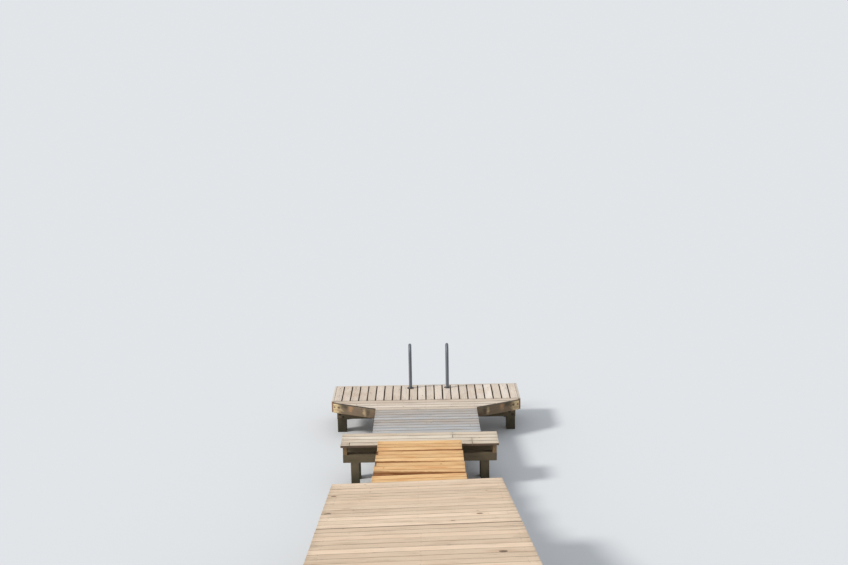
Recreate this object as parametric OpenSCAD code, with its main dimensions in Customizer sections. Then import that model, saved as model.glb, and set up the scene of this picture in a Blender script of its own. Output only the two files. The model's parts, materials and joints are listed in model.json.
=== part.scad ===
// Wooden jetty: an end platform with a bathing ladder, a ramp with flared corners,
// a shore landing, four deep steps and a sloping boardwalk in bays.
// Millimetres. +Y points out over the lake, +X to the right, z = 0 is the water line,
// where every pile and post ends. Stations along Y are measured from the shore edge
// of the end platform's planks, positive towards the lake.

/* [End platform] */
// Number of planks laid side by side
head_planks = 22; // [18:1:26]
// Width of one plank
head_plank_w = 101; // [95:1:110]
// Open joint between two planks
head_gap = 14; // [8:1:18]
// Length of the planks, which is the platform's depth
head_depth = 640; // [600:10:1200]
// Height of the platform's top above the water
head_z = 450; // [400:10:500]
// Thickness of the boards that close the ends and the lake edge
fascia_t = 28; // [20:1:40]
// Height of the boards that close the ends and the lake edge
fascia_h = 153; // [120:1:175]
// Distance of the piles' centre from the closing boards
pile_inset = 104; // [80:1:300]
// Side of a square pile
pile_side = 120; // [100:1:140]

/* [Ramp] */
// Horizontal length between the platform and the landing
ramp_len = 1560; // [1200:10:2400]
// Width over the planks
ramp_w = 1350; // [1200:10:1500]
// Least open joint between two planks
ramp_min_gap = 8; // [6:1:12]
// Height from the ramp's planks up to the landing's
landing_step = 40; // [35:1:60]
// Length of the flared part past the first plank
flare_len = 323; // [250:1:400]
// Height of the diagonal corner beams
corner_h = 125; // [100:1:130]

/* [Landing] */
// Width of the landing
landing_w = 1890; // [1600:10:2200]
// Number of plank rows
landing_rows = 4; // [4:1:6]
// Height of the landing above the water
landing_z = 550; // [520:5:650]
// Sideways offset of the landing, steps and boardwalk
shore_x = -85; // [-120:5:120]

/* [Steps] */
// Width of the treads
step_w = 995; // [800:5:1200]
// Number of steps
steps = 4; // [2:1:6]
// Planks in one tread
tread_planks = 5; // [4:1:6]
// Open joint between two planks of a tread
tread_gap = 5; // [3:0.5:12]
// Depth from one tread to the next
going = 520; // [480:10:600]
// Height from one tread to the next
rise = 70; // [55:5:90]
// Height from the landing to the lowest tread
first_rise = 50; // [40:5:80]

/* [Boardwalk] */
// Number of bays
bays = 3; // [1:1:6]
// Planks in one bay
bay_planks = 14; // [10:1:18]
// Width of a plank
walk_plank_w = 138; // [120:1:145]
// Open joint between two planks
walk_gap = 7; // [4:1:12]
// Open joint between two bays
bay_gap = 14; // [8:1:20]
// Width over the planks
walk_w = 1750; // [1500:10:2000]
// Slope in degrees
walk_slope = 12.1; // [8:0.1:14]
// How far the boardwalk reaches over the top step
walk_lap = 254; // [200:1:280]
// Sideways lean in degrees, lower on the left
walk_lean = 1.3; // [0:0.1:2]
// Sideways drift in degrees, to the right towards the shore
walk_drift = 0.9; // [0:0.1:1.5]

/* [Ladder] */
// Distance between the two rails
ladder_w = 520; // [450:10:600]
// Sideways offset of the ladder
ladder_x = 45; // [-100:5:100]
// Diameter of the rail tube
tube_d = 42; // [34:1:48]
// Height of the rails above the platform
rail_h = 620; // [500:10:900]
// Distance of the rail's foot from the planks' lake ends
rail_inset = 120; // [90:5:160]
// Distance of the outer leg's centre from the platform's lake face
leg_clear = 42; // [35:1:80]

/* [Timber] */
// Thickness of all planks
plank_t = 28; // [24:1:34]
// Eased edge of the planks
plank_ease = 3; // [1:0.5:4]
// Thickness of joists, stringers, ledgers and corner beams
joist_t = 48; // [40:1:60]
// Height of joists and ledgers
joist_h = 98; // [90:1:110]
// Height of the ramp's and the boardwalk's stringers
stringer_h = 120; // [110:1:130]
// Side of cross beams and posts
beam_side = 98; // [90:1:110]
// Height of the platform's two bearers
bearer_h = 148; // [130:1:150]

/* [Hidden] */
$fn = 40;
weathered = [0.74, 0.70, 0.64];
fresh = [0.82, 0.65, 0.44];
beam_wood = [0.63, 0.48, 0.34];
post_wood = [0.45, 0.38, 0.29];
steel = [0.80, 0.82, 0.84];

// Clearances between timbers: beside planks, and where two cut faces meet
plank_play = 2;
cut_play = 1;

// End platform
head_w = head_planks * (head_plank_w + head_gap) - head_gap;
head_under = head_z - plank_t;
fascia_x = head_w / 2 + plank_play;
fascia_shore = -14;
lake_face = head_depth + fascia_t;
bearer_z = head_under - bearer_h;
front_bearer_y = 20;
back_bearer_y = head_depth - beam_side;
pile_x = fascia_x - pile_inset;
pile_ys = [front_bearer_y + beam_side / 2, head_depth - pile_side / 2];

// Ramp: its first plank lies level with the platform, the others slope up from its shore edge
first_gap = 6;
ramp_edge = -first_gap - head_plank_w;
ramp_slope = atan((landing_z - landing_step - head_z) / (ramp_len + ramp_edge));
slope_len = (ramp_len + ramp_edge) / cos(ramp_slope) - first_gap;
slope_planks = floor(slope_len / (head_plank_w + ramp_min_gap));
ramp_pitch = slope_len / slope_planks;
ramp_half = ramp_w / 2 - plank_play;
stringer_x = ramp_w / 2 - joist_t / 2;
batten_h = joist_t;

// Flare: the corner beams' outer faces run from the closing boards to the ramp's sides
flare_run = fascia_x - ramp_w / 2;
flare_turn = atan(flare_len / flare_run);
mitre = (joist_t + 2 * plank_play) / cos(flare_turn);
flare_planks = floor((flare_len - mitre + head_plank_w) / ramp_pitch);

// Landing
landing_y = -ramp_len;
landing_gap = 6;
landing_plank_w = 98;
landing_d = landing_rows * (landing_plank_w + landing_gap) - landing_gap;
landing_end = landing_y - landing_d;
landing_under = landing_z - plank_t;
landing_lip = 15;
landing_beam_z = landing_under - joist_h - beam_side;
landing_joist_x = landing_w / 2 - 50;
landing_beam_w = landing_w - 50;
landing_post_x = landing_w / 2 - 165;
butt_gap = 3;
short_end = 105;
butt_joints = [[short_end - landing_w / 2, 630], [630], [400], [400]];

// Steps: tread k = 0 is the lowest, next to the landing
first_tread = landing_z + first_rise;
step_start = landing_end - cut_play;
tread_plank_w = (going - cut_play - (tread_planks - 1) * tread_gap) / tread_planks;
steps_end = step_start - steps * going;
top_tread = first_tread + (steps - 1) * rise;
carriage_web = 110;
carriage_x = step_w / 2 - 60;
carriage_lip = landing_under - 2;

// Boardwalk: the top of its planks passes through this point at its lake end
walk_y = steps_end + walk_lap;
walk_z = top_tread + 40;
walk_pitch = walk_plank_w + walk_gap;
bay_len = bay_planks * walk_pitch - walk_gap + bay_gap;
walk_end = walk_y - bays * bay_len * cos(walk_slope);
walk_stringer_x = walk_w / 2 - 84;
tip_back = 20;
trestle_y = steps_end - 2;
trestle_post_x = walk_w / 2 - 175;
trestle_beam_w = walk_w - 40;

// Lean and drift: the drift is nothing at the first station, and the play keeps
// level seats and square stringers clear of what leans and drifts above them
no_drift_y = walk_y - 1400;
lean_play = joist_t / 2 * (tan(walk_lean) + sin(walk_drift) * tan(walk_slope));
plank_lean = atan(tan(walk_lean) * cos(walk_slope));

// Ladder
near_leg = head_depth - rail_inset;
far_leg = lake_face + leg_clear;
rail_depth = far_leg - near_leg;
bend_z = head_z + rail_h - tube_d / 2 - rail_depth / 2;
flange_t = 6;
flange_d = 96;
rungs = [100, 330];
tread_d = 70;
tread_t = 26;
tread_ease = 4;
bracket_z = head_z - 78;
bracket_side = 60;
arm_h = 40;

// Y of the whole jetty's middle, which becomes the origin
y_lake = far_leg + max(tube_d, tread_d) / 2;
last_corner = plank_t + walk_w / 2 * sin(plank_lean);
y_shore = walk_end + bay_gap / 2 * cos(walk_slope) - last_corner * sin(walk_slope);
y_mid = (y_lake + y_shore) / 2;

// Height of a line through (y0, z0) that rises towards the shore
function slope_z(y, y0, z0, a) = z0 + (y0 - y) * tan(a);
function ramp_under(y) = slope_z(min(y, ramp_edge), ramp_edge, head_under, ramp_slope);
function ramp_low(y) = ramp_under(y) - stringer_h;
function walk_under(y) = slope_z(y, walk_y, walk_z, walk_slope) - plank_t / cos(walk_slope);
function walk_low(y) = walk_under(y) - stringer_h / cos(walk_slope);
function inner_corner(y) = slope_z(y, step_start - going, first_tread - plank_t, atan(rise / going));
function carriage_low(y) = inner_corner(y) - carriage_web;

// What the boardwalk's lean adds to a height, and its drift to a place across
function leaned(x) = x * tan(walk_lean);
function drifted(y) = (no_drift_y - y) * tan(walk_drift);

// Shore and lake edges of the beam of trestle k, and the height of its top
function joint_y(k) = walk_y - k * bay_len * cos(walk_slope);
function trestle_shore(k) =
    k == 0 ? trestle_y - beam_side : k == bays ? joint_y(k) : joint_y(k) - beam_side / 2;
function trestle_lake(k) = trestle_shore(k) + beam_side;
function trestle_top(k) = walk_low(trestle_shore(k));
function trestle_under(k) = trestle_top(k) - 2 * lean_play - beam_side;
function stringer_lake(bay) = bay == 1 ? walk_y - tip_back : joint_y(bay - 1);

// Where the ramp's planks end beside a corner beam, in the ramp's plane
function mitre_y(x) = mitre - flare_len + (x - ramp_w / 2) * tan(flare_turn);

// Puts the drawing's station 0 at its place behind the origin
module placed() {
    translate([0, -y_mid, 0]) children();
}

// Everything from the landing to the boardwalk stands a little to one side
module on_shore() {
    translate([shore_x, 0, 0]) children();
}

// Upright profile drawn in Y and Z, as thick as asked along X
module side_cut(thick) {
    rotate([90, 0, 90]) linear_extrude(thick, center = true) children();
}

// Upright profile drawn in X and Z, from station y0 to y1
module front_cut(y0, y1) {
    translate([0, y1, 0]) rotate([90, 0, 0]) linear_extrude(y1 - y0) children();
}

// Cross-section of a plank with its two upper edges eased
module plank_section(w) {
    polygon([
        [0, 0], [w, 0], [w, plank_t - plank_ease], [w - plank_ease, plank_t],
        [plank_ease, plank_t], [0, plank_t - plank_ease]
    ]);
}

// Plank along X, centred, from y = 0 to its width
module plank_x(len, w) {
    side_cut(len) plank_section(w);
}

// Plank along Y, from x = 0 to its width
module plank_y(len, w) {
    translate([0, len, 0]) rotate([90, 0, 0]) linear_extrude(len) plank_section(w);
}

// Squared piece between two stations and two heights, centred on x
module squared(x, thick, y0, y1, z0, z1) {
    translate([x - thick / 2, min(y0, y1), z0]) cube([thick, abs(y1 - y0), z1 - z0]);
}

// Square post from the water line up to a height
module post(x, y, side, top) {
    squared(x, side, y - side / 2, y + side / 2, 0, top);
}

// Ramp's own plane: z = 0 is the planks' underside, y = 0 the first plank's shore edge
module in_ramp_plane() {
    translate([0, ramp_edge, head_under]) rotate([-ramp_slope, 0, 0]) children();
}

// Plan of the ramp's planks: as wide as the platform at first, then mitred behind the corner beams
module ramp_plan() {
    far = fascia_x - 2 * plank_play;
    polygon([
        [-far, -ramp_edge], [far, -ramp_edge], [far, mitre_y(far)], [ramp_half, mitre_y(ramp_half)],
        [ramp_half, -ramp_len], [-ramp_half, -ramp_len], [-ramp_half, mitre_y(ramp_half)],
        [-far, mitre_y(far)]
    ]);
}

// One plank of the ramp, cut to the plan, with its shore edge at y
module ramp_plank(y) {
    intersection() {
        translate([0, y, 0]) plank_x(2 * fascia_x, head_plank_w);
        translate([0, 0, -cut_play]) linear_extrude(plank_t + 2 * cut_play) ramp_plan();
    }
}

// Diagonal stick between two depths behind the flare's outer face, out to x_out
module corner_stick(from, to, x_out, z0, z1) {
    long = flare_run / cos(flare_turn) + 4 * joist_t;
    in_ramp_plane() translate([0, 0, z0]) linear_extrude(z1 - z0) intersection() {
        translate([fascia_x, 0]) rotate(180 + flare_turn)
            translate([-2 * joist_t, -to]) square([long, to - from]);
        translate([ramp_w / 2, -ramp_len]) square([x_out - ramp_w / 2, ramp_len - ramp_edge]);
    }
}

// Short cleat along a closing board, from the front bearer to the corner beam's back
module end_cleat() {
    back = ramp_edge + joist_t / cos(flare_turn) + cut_play;
    translate([0, 0, head_under - batten_h]) linear_extrude(batten_h) polygon([
        [fascia_x - joist_t, front_bearer_y], [fascia_x, front_bearer_y],
        [fascia_x, back], [fascia_x - joist_t, back - joist_t * tan(flare_turn)]
    ]);
}

module platform_planks() {
    color(weathered) placed() for (i = [0:head_planks - 1])
        translate([-head_w / 2 + i * (head_plank_w + head_gap), 0, head_under])
            plank_y(head_depth, head_plank_w);
}

module platform_fascias() {
    low = head_z - fascia_h;
    color(beam_wood) placed() {
        for (s = [-1, 1])
            squared(s * (fascia_x + fascia_t / 2), fascia_t, fascia_shore, lake_face, low, head_z);
        squared(0, 2 * (fascia_x - cut_play), head_depth, lake_face, low, head_z);
    }
}

module platform_bearer(y) {
    color(post_wood) placed() squared(0, 2 * fascia_x, y, y + beam_side, bearer_z, head_under);
}

module platform_piles() {
    color(post_wood) placed() for (s = [-1, 1], y = pile_ys)
        post(s * pile_x, y, pile_side, bearer_z);
}

module platform_waler() {
    front = pile_ys[0] - pile_side / 2;
    top = ramp_low(front);
    color(post_wood) placed()
        squared(0, 2 * pile_x + pile_side, front - joist_t, front, top - joist_h, top);
}

module corner_planks() {
    color(weathered) placed() {
        translate([0, ramp_edge, head_under]) ramp_plank(0);
        in_ramp_plane() for (i = [1:flare_planks]) ramp_plank(-i * ramp_pitch);
    }
}

module corner_beam() {
    color(beam_wood) placed() corner_stick(0, joist_t, fascia_x, plank_t - corner_h, plank_t);
}

module corner_battens() {
    inside = fascia_x - joist_t - plank_play;
    color(beam_wood) placed() for (s = [0, 1]) mirror([s, 0, 0]) {
        corner_stick(joist_t, 2 * joist_t, inside, -batten_h, 0);
        end_cleat();
    }
}

module ramp_planks() {
    color(weathered) placed() in_ramp_plane() for (i = [flare_planks + 1:slope_planks])
        ramp_plank(-i * ramp_pitch);
}

module ramp_stringers() {
    lake = front_bearer_y;
    shore = landing_y - landing_lip;
    seat = shore + joist_t;
    color(beam_wood) placed() for (x = [-stringer_x, 0, stringer_x])
        translate([x, 0, 0]) side_cut(joist_t) polygon([
            [lake, ramp_low(lake)], [lake, head_under], [ramp_edge, head_under],
            [shore, ramp_under(shore)], [shore, ramp_low(shore)], [seat, ramp_low(shore)],
            [seat, ramp_low(seat)], [ramp_edge, ramp_low(ramp_edge)]
        ]);
}

module ramp_ledger() {
    shore = landing_y - landing_lip;
    top = ramp_low(shore);
    color(post_wood) placed() on_shore()
        squared(0, 2 * landing_post_x + beam_side, shore, shore + joist_t, top - joist_h, top);
}

// One row of the landing, with a butt joint at each x in cuts
module landing_row(row, cuts) {
    ends = concat([-landing_w / 2 - butt_gap / 2], cuts, [landing_w / 2 + butt_gap / 2]);
    y = landing_end + row * (landing_plank_w + landing_gap);
    for (i = [0:len(ends) - 2])
        translate([(ends[i] + ends[i + 1]) / 2, y, landing_under])
            plank_x(ends[i + 1] - ends[i] - butt_gap, landing_plank_w);
}

module landing_planks() {
    color(weathered) placed() on_shore() for (row = [0:landing_rows - 1])
        landing_row(row, butt_joints[row % len(butt_joints)]);
}

module landing_joists() {
    color(beam_wood) placed() on_shore() for (x = [-1, -1 / 3, 1 / 3, 1])
        squared(x * landing_joist_x, joist_t, landing_y - landing_lip, landing_end + landing_lip,
            landing_under - joist_h, landing_under);
}

module landing_beams() {
    ys = [landing_y - landing_lip - beam_side, landing_end + landing_lip];
    color(post_wood) placed() on_shore() for (y = ys)
        squared(0, landing_beam_w, y, y + beam_side, landing_beam_z, landing_beam_z + beam_side);
}

module landing_posts() {
    ys = [landing_y - landing_lip - beam_side / 2, landing_end + landing_lip + beam_side / 2];
    color(post_wood) placed() on_shore() for (s = [-1, 1], y = ys)
        post(s * landing_post_x, y, beam_side, landing_beam_z);
}

// Tread k = 1 is the lowest, and the top one leans with the boardwalk
module step_tread(k) {
    far = step_start - (k - 1) * going;
    under = first_tread - plank_t + (k - 1) * rise;
    color(fresh) placed() on_shore() translate([0, far, under])
        rotate([0, k == steps ? -walk_lean : 0, 0]) for (i = [0:tread_planks - 1])
            translate([0, -tread_plank_w - i * (tread_plank_w + tread_gap), 0])
                plank_x(step_w, tread_plank_w);
}

// Sawn stair beam with one level seat for each tread
module carriage(x) {
    lake = landing_end + landing_lip;
    lake_seat = lake - joist_t;
    shore = trestle_y;
    shore_seat = shore + joist_t;
    under = first_tread - plank_t;
    top_shift = leaned(x) - lean_play;
    teeth = [for (k = [0:steps - 1], e = [0, 1]) [
        k == steps - 1 && e == 1 ? shore : step_start - (k + e) * going,
        under + k * rise + (k == steps - 1 ? top_shift : 0)
    ]];
    color(beam_wood) placed() on_shore() translate([x, 0, 0]) side_cut(joist_t) polygon(concat(
        [[lake, carriage_low(lake_seat)], [lake, carriage_lip], [step_start, carriage_lip]],
        teeth,
        [
            [shore, carriage_low(shore)], [shore_seat, carriage_low(shore)],
            [shore_seat, carriage_low(shore_seat)], [lake_seat, carriage_low(lake_seat)]
        ]
    ));
}

module step_ledgers() {
    lake = landing_end + landing_lip;
    low = carriage_low(lake - joist_t);
    high = carriage_low(trestle_y);
    color(post_wood) placed() on_shore() {
        squared(0, step_w, lake - joist_t, lake, low - joist_h, low);
        squared(0, 2 * trestle_post_x + beam_side, trestle_y, trestle_y + joist_t, high - joist_h, high);
    }
}

module walk_planks(bay) {
    color(weathered) placed() on_shore() translate([0, walk_y, walk_z]) rotate([-walk_slope, 0, 0])
        for (i = [0:bay_planks - 1]) {
            far = -(bay - 1) * bay_len - bay_gap / 2 - i * walk_pitch;
            aside = drifted(walk_y + far * cos(walk_slope));
            translate([aside, far - walk_plank_w, -plank_t]) rotate([0, -plank_lean, 0])
                plank_x(walk_w, walk_plank_w);
        }
}

// Outline of a boardwalk stringer, with a level seat on each trestle
module walk_stringer_side(bay, tip) {
    lake = stringer_lake(bay);
    shore = joint_y(bay);
    a = trestle_shore(bay - 1);
    b = trestle_lake(bay);
    tip_z = top_tread + 2 * lean_play;
    on_step = [[trestle_y, trestle_top(0)], [trestle_y, tip_z], [lake, tip_z]];
    on_beam = bay == 1
        ? [[trestle_lake(0), trestle_top(0)], [trestle_lake(0), walk_low(trestle_lake(0))],
            [lake, walk_low(lake)]]
        : [[lake, trestle_top(bay - 1)]];
    polygon(concat(
        [[a, trestle_top(bay - 1)]], tip ? on_step : on_beam,
        [[lake, walk_under(lake)], [shore, walk_under(shore)], [shore, trestle_top(bay)],
            [b, trestle_top(bay)], [b, walk_low(b)]]
    ));
}

module walk_stringers(bay) {
    lake = stringer_lake(bay);
    color(beam_wood) placed() on_shore() for (x = [-walk_stringer_x, 0, walk_stringer_x])
        translate([x + drifted(lake), lake, leaned(x) - lean_play]) rotate(walk_drift)
            translate([0, -lake, 0]) side_cut(joist_t) walk_stringer_side(bay, bay == 1 && x == 0);
}

// Upright profile drawn in X and Z, set at trestle k, where the boardwalk has drifted to
module on_trestle(k) {
    y = trestle_shore(k);
    placed() on_shore() translate([drifted(y), 0, 0]) front_cut(y, y + beam_side) children();
}

module trestle_beam(k) {
    x = trestle_beam_w / 2;
    low = trestle_under(k);
    top = low + beam_side;
    color(post_wood) on_trestle(k)
        polygon([[-x, low - leaned(x)], [x, low + leaned(x)], [x, top + leaned(x)], [-x, top - leaned(x)]]);
}

module trestle_posts(k) {
    top = trestle_under(k);
    color(post_wood) for (s = [-1, 1]) {
        a = s * trestle_post_x - beam_side / 2;
        b = a + beam_side;
        on_trestle(k) polygon([[a, 0], [b, 0], [b, top + leaned(b)], [a, top + leaned(a)]]);
    }
}

// Bent tube: short leg on the platform, half circle, long leg down to the water
module ladder_rail(s) {
    color(steel) placed() translate([ladder_x + s * ladder_w / 2, 0, 0]) {
        translate([0, near_leg, head_z + flange_t]) cylinder(d = tube_d, h = bend_z - head_z - flange_t);
        translate([0, far_leg, 0]) cylinder(d = tube_d, h = bend_z);
        translate([0, (near_leg + far_leg) / 2, bend_z]) rotate([90, 0, 90])
            rotate_extrude(angle = 180) translate([rail_depth / 2, 0]) circle(d = tube_d);
    }
}

module ladder_treads() {
    color(steel) placed() for (z = rungs)
        translate([ladder_x, far_leg - tread_d / 2, z]) side_cut(ladder_w - tube_d) polygon([
            [tread_ease, 0], [tread_d - tread_ease, 0], [tread_d, tread_ease],
            [tread_d, tread_t - tread_ease], [tread_d - tread_ease, tread_t],
            [tread_ease, tread_t], [0, tread_t - tread_ease], [0, tread_ease]
        ]);
}

module ladder_flanges() {
    color(steel) placed() for (s = [-1, 1])
        translate([ladder_x + s * ladder_w / 2, near_leg, head_z])
            cylinder(d = flange_d, h = flange_t);
}

module ladder_brackets() {
    plate = bracket_side / 2;
    arm = arm_h / 2;
    color(steel) placed() for (s = [-1, 1]) translate([ladder_x + s * ladder_w / 2, 0, 0]) {
        squared(0, bracket_side, lake_face, lake_face + flange_t, bracket_z - plate, bracket_z + plate);
        squared(0, flange_t, lake_face + flange_t, far_leg - tube_d / 2, bracket_z - arm, bracket_z + arm);
    }
}

platform_planks();
platform_fascias();
platform_bearer(front_bearer_y);  // platform_front_bearer
platform_bearer(back_bearer_y);  // platform_back_bearer
platform_piles();
platform_waler();
corner_planks();
mirror([1, 0, 0]) corner_beam();  // corner_beam_left
corner_beam();  // corner_beam_right
corner_battens();
ramp_planks();
ramp_stringers();
ramp_ledger();
landing_planks();
landing_joists();
landing_beams();
landing_posts();
for (k = [1:steps]) step_tread(k);
carriage(-carriage_x);  // carriage_left
carriage(0);  // carriage_middle
carriage(carriage_x);  // carriage_right
step_ledgers();
for (bay = [1:bays]) walk_planks(bay);
for (bay = [1:bays]) walk_stringers(bay);
for (k = [0:bays]) trestle_beam(k);
for (k = [0:bays]) trestle_posts(k);
ladder_rail(-1);  // ladder_rail_left
ladder_rail(1);  // ladder_rail_right
ladder_treads();
ladder_flanges();
ladder_brackets();
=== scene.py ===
import json
import math
import random

import bmesh
import bpy
from mathutils import Matrix, Vector

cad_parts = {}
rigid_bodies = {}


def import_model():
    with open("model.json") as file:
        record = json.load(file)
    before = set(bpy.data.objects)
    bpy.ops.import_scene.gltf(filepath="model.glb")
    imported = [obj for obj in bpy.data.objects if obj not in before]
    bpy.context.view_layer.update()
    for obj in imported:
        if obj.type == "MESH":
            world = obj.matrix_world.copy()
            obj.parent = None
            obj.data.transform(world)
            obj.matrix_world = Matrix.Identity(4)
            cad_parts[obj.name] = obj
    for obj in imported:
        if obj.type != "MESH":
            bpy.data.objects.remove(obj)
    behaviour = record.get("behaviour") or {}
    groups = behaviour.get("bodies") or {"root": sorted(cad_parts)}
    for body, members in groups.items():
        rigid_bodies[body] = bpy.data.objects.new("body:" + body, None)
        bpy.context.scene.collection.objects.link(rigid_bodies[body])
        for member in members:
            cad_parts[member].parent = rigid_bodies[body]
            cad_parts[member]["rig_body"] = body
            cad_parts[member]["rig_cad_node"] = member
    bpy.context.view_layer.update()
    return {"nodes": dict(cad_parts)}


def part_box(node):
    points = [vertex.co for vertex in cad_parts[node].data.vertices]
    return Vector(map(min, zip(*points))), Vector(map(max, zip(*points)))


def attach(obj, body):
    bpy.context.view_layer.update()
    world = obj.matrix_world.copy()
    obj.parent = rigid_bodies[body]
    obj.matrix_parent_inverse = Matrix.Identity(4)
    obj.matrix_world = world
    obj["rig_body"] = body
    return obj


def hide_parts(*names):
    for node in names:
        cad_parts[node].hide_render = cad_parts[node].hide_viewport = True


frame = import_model()
chance = random.Random(1912)

ACROSS, ALONG = 0, 1
NEAR = 1e-5  # spots closer than this count as one, in metres

# How boards are sawn and laid, in metres
ARRIS = 0.003
END_ARRIS = 0.0012
BEAM_ARRIS = 0.0022
BRACKET_ARRIS = 0.0012
CUT_STEP = 0.11  # between the cuts that let a board bow
CUP = 0.0011  # a board's long edges above or below its middle line
CROOK = 0.0016  # a board's middle beside the line between its ends
TILT = math.radians(0.26)
SKEW = math.radians(0.05)
SHORTFALL = 0.004
SAW_LOSS = 0.0015
SINK = 0.0005  # leaves room for screw heads below the top of the plain board
STEP_NICK = 0.028  # the lake board of two steps is this much shorter at its left
NARROWER = 0.9993  # closing boards, so that their screws stay inside the jetty's width

# Knots, on boards and in their notes
MOST_KNOTS = 3
NO_KNOT = (9.0, 0.0, 0.001)
SMALL_KNOTS = 0.0035, 0.0085
DECK_KNOTS = 0.3  # the share of a board's three knots that it has
BEAM_KNOTS = 0.35
STEP_KNOTS = 0.2
WALK_SMALL_KNOTS = 0.22

# Fasteners, in metres
SCREW_R = 0.0042
SCREW_DEPTH = 0.003
SCREW_RISE = 0.0002
SCREW_DOME = 0.0003
SCREW_EDGE = 0.024
SCREW_STRAY = 0.003
BOARD_END = 0.012  # no screw comes closer to a board's end
BOLT_R = 0.0105
BOLT_DEPTH = 0.0075
WASHER_R = 0.0185
WASHER_DEPTH = 0.0025
BOLT_SEAT = 0.00025
LEDGER_BOLT_SPREAD = 0.022
STEP_BOLTS = -0.41, -0.19, 0.02, 0.24
END_BOARD_SCREWS = 0.325, 0.365, 0.405
LAKE_BOARD_SCREWS = 0.335, 0.400
LAKE_SCREW_STEP = 0.4
LAKE_END_SCREWS = 0.012  # in from the lake board's outer face
CORNER_EDGE = 1.236  # where the flared corners' outer ends are screwed down

# Ladder, in metres
RAIL_END_EASE = 0.003
FLANGE_EASE = 0.0018
FLANGE_SCREW_RING = 0.0345
PAN_R = 0.0058
WELD_R = 0.0028
WELD_OUT = 0.0006
TREAD_EASE = 0.006
TREAD_STRIPS = 13  # every other one is a groove
GROOVE_WALL = 0.0007
GROOVE_DEPTH = 0.0018
BRACKET_BOLT_SPREAD = 0.019
BRACKET_FACE = 0.006

# The wood's patterns, in changes a metre along, across and through a timber
TREE_BENDS = (0.9, 0.0, 0.0)
RING_RIPPLES = (2.5, 18.0, 18.0)
KNOT_EDGES = (70.0, 70.0, 70.0)
FIBRES = (7.0, 330.0, 330.0)
STREAKS = (1.1, 42.0, 42.0)
BLOTCHES = (2.2, 7.0, 7.0)
BLOTCH_EDGES = (16.0, 34.0, 34.0)
CRACK_LINES = (1.3, 62.0, 62.0)
CRACK_PLACES = (2.0, 14.0, 14.0)
FLUSHES = (3.4, 11.0, 11.0)
WET_EDGES = (4.0, 20.0, 20.0)

# Sizes in the wood, in metres
BEND_SIZE = (0.0, 0.05, 0.03)
RIPPLE_SIZE = (0.0, 0.007, 0.007)
RING_WIDTH = 0.0041
KNOT_PUSH = 0.011
END_CRACKS = 0.16
END_SHADE = 0.05
JOINT_DIRT = 0.011
BAY_DIRT = 0.016
DIRT_PLAY = 0.02
BAND_PLAY = 0.04
BAND_FRONT = -0.014, 0.012
BAND_CORE = 0.005, 0.05
BAND_FADE = 0.08, 0.20
WET_PLAY = 0.12

# The steel's lines and marks, in changes a metre
ROUND_TUBE = (60.0, 60.0, 900.0)
ROLLED = (200.0, 200.0, 200.0)
TURNED = (300.0, 300.0, 300.0)
WATER_MARKS = (9.0, 9.0, 3.0)


# Modelling by hand

def take_up(piece):
    """Makes piece the one selected and active object."""
    bpy.ops.object.select_all(action="DESELECT")
    piece.select_set(True)
    bpy.context.view_layer.objects.active = piece


def open_mesh(piece):
    take_up(piece)
    bpy.ops.object.mode_set(mode="EDIT")


def close_mesh():
    bpy.ops.object.mode_set(mode="OBJECT")


def settled():
    """The primitive that was added last, with its place put into its mesh."""
    piece = bpy.context.object
    take_up(piece)
    bpy.ops.object.transform_apply(location=True, rotation=True, scale=True)
    return piece


def smooth(piece, degrees):
    """Shades a piece smoothly across the edges that turn by less than some degrees."""
    take_up(piece)
    bpy.ops.object.shade_smooth_by_angle(angle=math.radians(degrees))


def pick(kind, wanted):
    """Selects the vertices, edges or faces of the open mesh for which wanted is true."""
    bpy.ops.mesh.select_mode(type=kind)
    bpy.ops.mesh.select_all(action="DESELECT")
    data = bpy.context.object.data
    mesh = bmesh.from_edit_mesh(data)
    for part in {"VERT": mesh.verts, "EDGE": mesh.edges, "FACE": mesh.faces}[kind]:
        if wanted(part):
            part.select_set(True)
    bmesh.update_edit_mesh(data)


def runs_along(edge, axis):
    """True if an edge is parallel to axis 0, 1 or 2."""
    way = edge.verts[1].co - edge.verts[0].co
    return abs(way[axis]) > 0.999 * way.length


def sharp(edge, degrees=12):
    """True if two faces meet at an edge and turn there by more than some degrees."""
    return len(edge.link_faces) == 2 and edge.calc_face_angle(0) > math.radians(degrees)


def copy_of(piece):
    """A copy with a mesh of its own."""
    twin = piece.copy()
    twin.data = piece.data.copy()
    bpy.context.scene.collection.objects.link(twin)
    return twin


def throw_away(*pieces):
    for piece in pieces:
        bpy.data.objects.remove(piece)


def join(pieces, name):
    """One object of several, under one name."""
    bpy.ops.object.select_all(action="DESELECT")
    for piece in pieces:
        piece.select_set(True)
    bpy.context.view_layer.objects.active = pieces[0]
    if len(pieces) > 1:
        bpy.ops.object.join()
    whole = bpy.context.object
    whole.name = whole.data.name = name
    return whole


def hand_over(piece, finish, *nodes):
    """Gives a finished piece its material and its place on the jetty."""
    slot, material = finish
    piece.data.materials.clear()
    piece.data.materials.append(material)
    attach(piece, "root")
    if nodes:
        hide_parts(*nodes)


# The construction's own solids

def solids_of(node):
    """A CAD node's separate timbers as clean closed copies, from left to right and towards the lake."""
    whole = copy_of(frame["nodes"][node])
    whole.parent = None
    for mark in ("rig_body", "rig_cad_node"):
        del whole[mark]
    open_mesh(whole)
    bpy.ops.mesh.select_all(action="SELECT")
    bpy.ops.mesh.customdata_custom_splitnormals_clear()
    bpy.ops.mesh.remove_doubles(threshold=NEAR)
    bpy.ops.mesh.dissolve_limited(angle_limit=math.radians(0.4))
    bpy.ops.mesh.separate(type="LOOSE")
    close_mesh()
    return sorted(bpy.context.selected_objects, key=lambda t: tuple(round(c, 3) for c in middle(t)))


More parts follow.
